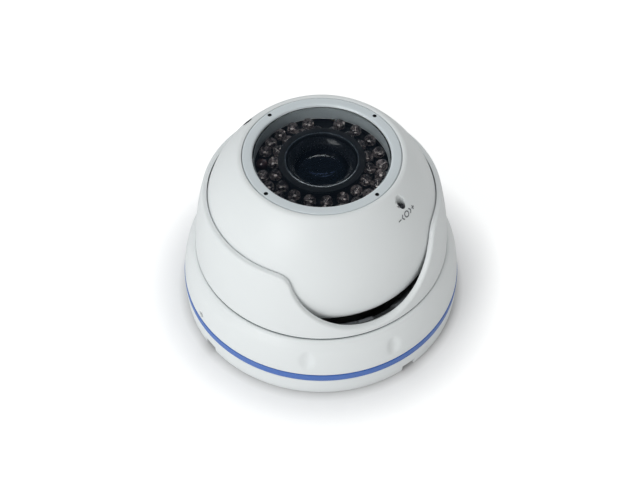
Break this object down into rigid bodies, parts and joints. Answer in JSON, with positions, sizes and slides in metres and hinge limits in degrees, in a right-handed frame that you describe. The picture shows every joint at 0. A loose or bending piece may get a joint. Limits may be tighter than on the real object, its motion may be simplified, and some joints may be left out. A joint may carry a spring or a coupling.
{
  "type": "dome security camera",
  "caption": "Dome camera: ball module with infrared lamps round a zoom lens, clamped in a turning, notched cover on a round base with a blue ring.",
  "frame": {"origin": "centre of the base's mounting face", "axes": "+Z along the pan axis, from the mounting face to the window; +X to the right and -Y towards the viewer"},
  "size_m": [0.12, 0.12, 0.0819],
  "materials": {
    "white_paint": "satin powder-coated die casting",
    "bezel_grey": "satin silver-grey paint",
    "blue_trim": "matte blue ring",
    "black_plastic": "matte black",
    "dark_plastic": "dark grey moulded plastic",
    "black_rubber": "matte rubber",
    "steel": "plain zinc-plated steel",
    "dark_steel": "blackened steel",
    "brass": "turned brass",
    "clear_glass": "flat clear glass",
    "lens_glass": "coated lens, blue-violet reflection",
    "led_epoxy": "clear epoxy",
    "green_board": "solder mask",
    "chip_black": "moulded chip",
    "sensor_red": "dark red window",
    "connector_white": "natural nylon"
  },
  "bodies": {
    "base": {"base_housing": "white_paint", "mounting_plate": "white_paint", "retaining_ring": "dark_plastic", "blue_trim_ring": "blue_trim", "base_gasket": "black_rubber", "pan_glide_ring": "dark_plastic", "lock_screw_1": "dark_steel", "lock_screw_2": "dark_steel"},
    "turret": {"clamp_cover": "white_paint", "ball_cup": "dark_plastic", "cup_screw_1": "steel", "cup_screw_2": "steel", "cup_screw_3": "steel"},
    "ball_rear": {"rear_shell": "black_plastic", "rear_plate": "black_plastic", "cable_gland": "black_rubber", "gland_nut": "steel", "main_board": "green_board", "board_connector": "connector_white", "processor_chip": "chip_black"},
    "ball_front": {"front_shell": "white_paint", "bezel_ring": "bezel_grey", "bezel_screw_1": "dark_steel", "bezel_screw_2": "dark_steel", "bezel_screw_3": "dark_steel", "bezel_screw_4": "dark_steel", "front_glass": "clear_glass", "glass_gasket": "black_rubber", "led_board": "green_board", "led_ring_inner": "led_epoxy", "led_ring_outer": "led_epoxy", "light_sensor": "sensor_red", "lens_shroud": "black_plastic", "bracket_post_1": "brass", "bracket_post_2": "brass", "bracket_post_3": "brass", "bracket_post_4": "brass", "board_spacer_1": "brass", "board_spacer_2": "brass", "board_spacer_3": "brass", "board_spacer_4": "brass", "lens_bracket": "steel", "lens_mount": "dark_plastic", "lens_barrel": "black_plastic", "lens_rear_element": "lens_glass", "sensor_board": "green_board", "image_sensor": "chip_black", "swivel_seal": "black_rubber"},
    "lens_front": {"lens_front_cell": "black_plastic", "lens_front_element": "lens_glass"},
    "focus_drive_ring": {"focus_ring": "dark_plastic"},
    "focus_adjuster_shaft": {"focus_adjuster": "brass"},
    "zoom_drive_ring": {"zoom_ring": "dark_plastic"},
    "zoom_adjuster_shaft": {"zoom_adjuster": "brass"}
  },
  "joints": [
    {"name": "pan", "type": "hinge", "parent": "base", "child": "turret", "pos_m": [0, 0, 0.0242], "axis": [0, 0, 1], "range_deg": [-180, 180]},
    {"name": "tilt", "type": "hinge", "parent": "turret", "child": "ball_rear", "pos_m": [0, 0, 0.0466], "axis": [0.8988, 0.4384, 0], "range_deg": [0, 55]},
    {"name": "rotation", "type": "hinge", "parent": "ball_rear", "child": "ball_front", "pos_m": [0, 0, 0.0466], "axis": [0, 0, 1], "range_deg": [-180, 180]},
    {"name": "focus_ring_turn", "type": "hinge", "parent": "ball_front", "child": "focus_drive_ring", "pos_m": [0, 0, 0.06], "axis": [0, 0, 1], "range_deg": [-25, 25]},
    {"name": "lens_focus_travel", "type": "slide", "parent": "ball_front", "child": "lens_front", "axis": [0, 0, 1], "range_m": [-0.0008, 0.0008]},
    {"name": "focus_adjuster_turn", "type": "hinge", "parent": "ball_front", "child": "focus_adjuster_shaft", "pos_m": [0.03064, -0.02145, 0.06], "axis": [0, 0, 1], "range_deg": [-210, 210]},
    {"name": "zoom_ring_turn", "type": "hinge", "parent": "ball_front", "child": "zoom_drive_ring", "pos_m": [0, 0, 0.0522], "axis": [0, 0, 1], "range_deg": [-25, 25]},
    {"name": "zoom_adjuster_turn", "type": "hinge", "parent": "ball_front", "child": "zoom_adjuster_shaft", "pos_m": [-0.03064, 0.02145, 0.0522], "axis": [0, 0, 1], "range_deg": [-210, 210]}
  ],
  "couplings": [
    {"joint": "focus_adjuster_turn", "follows": "focus_ring_turn", "ratio": -8.25},
    {"joint": "lens_focus_travel", "follows": "focus_ring_turn", "m_per_rad": 0.0018},
    {"joint": "zoom_adjuster_turn", "follows": "zoom_ring_turn", "ratio": -8.25}
  ]
}
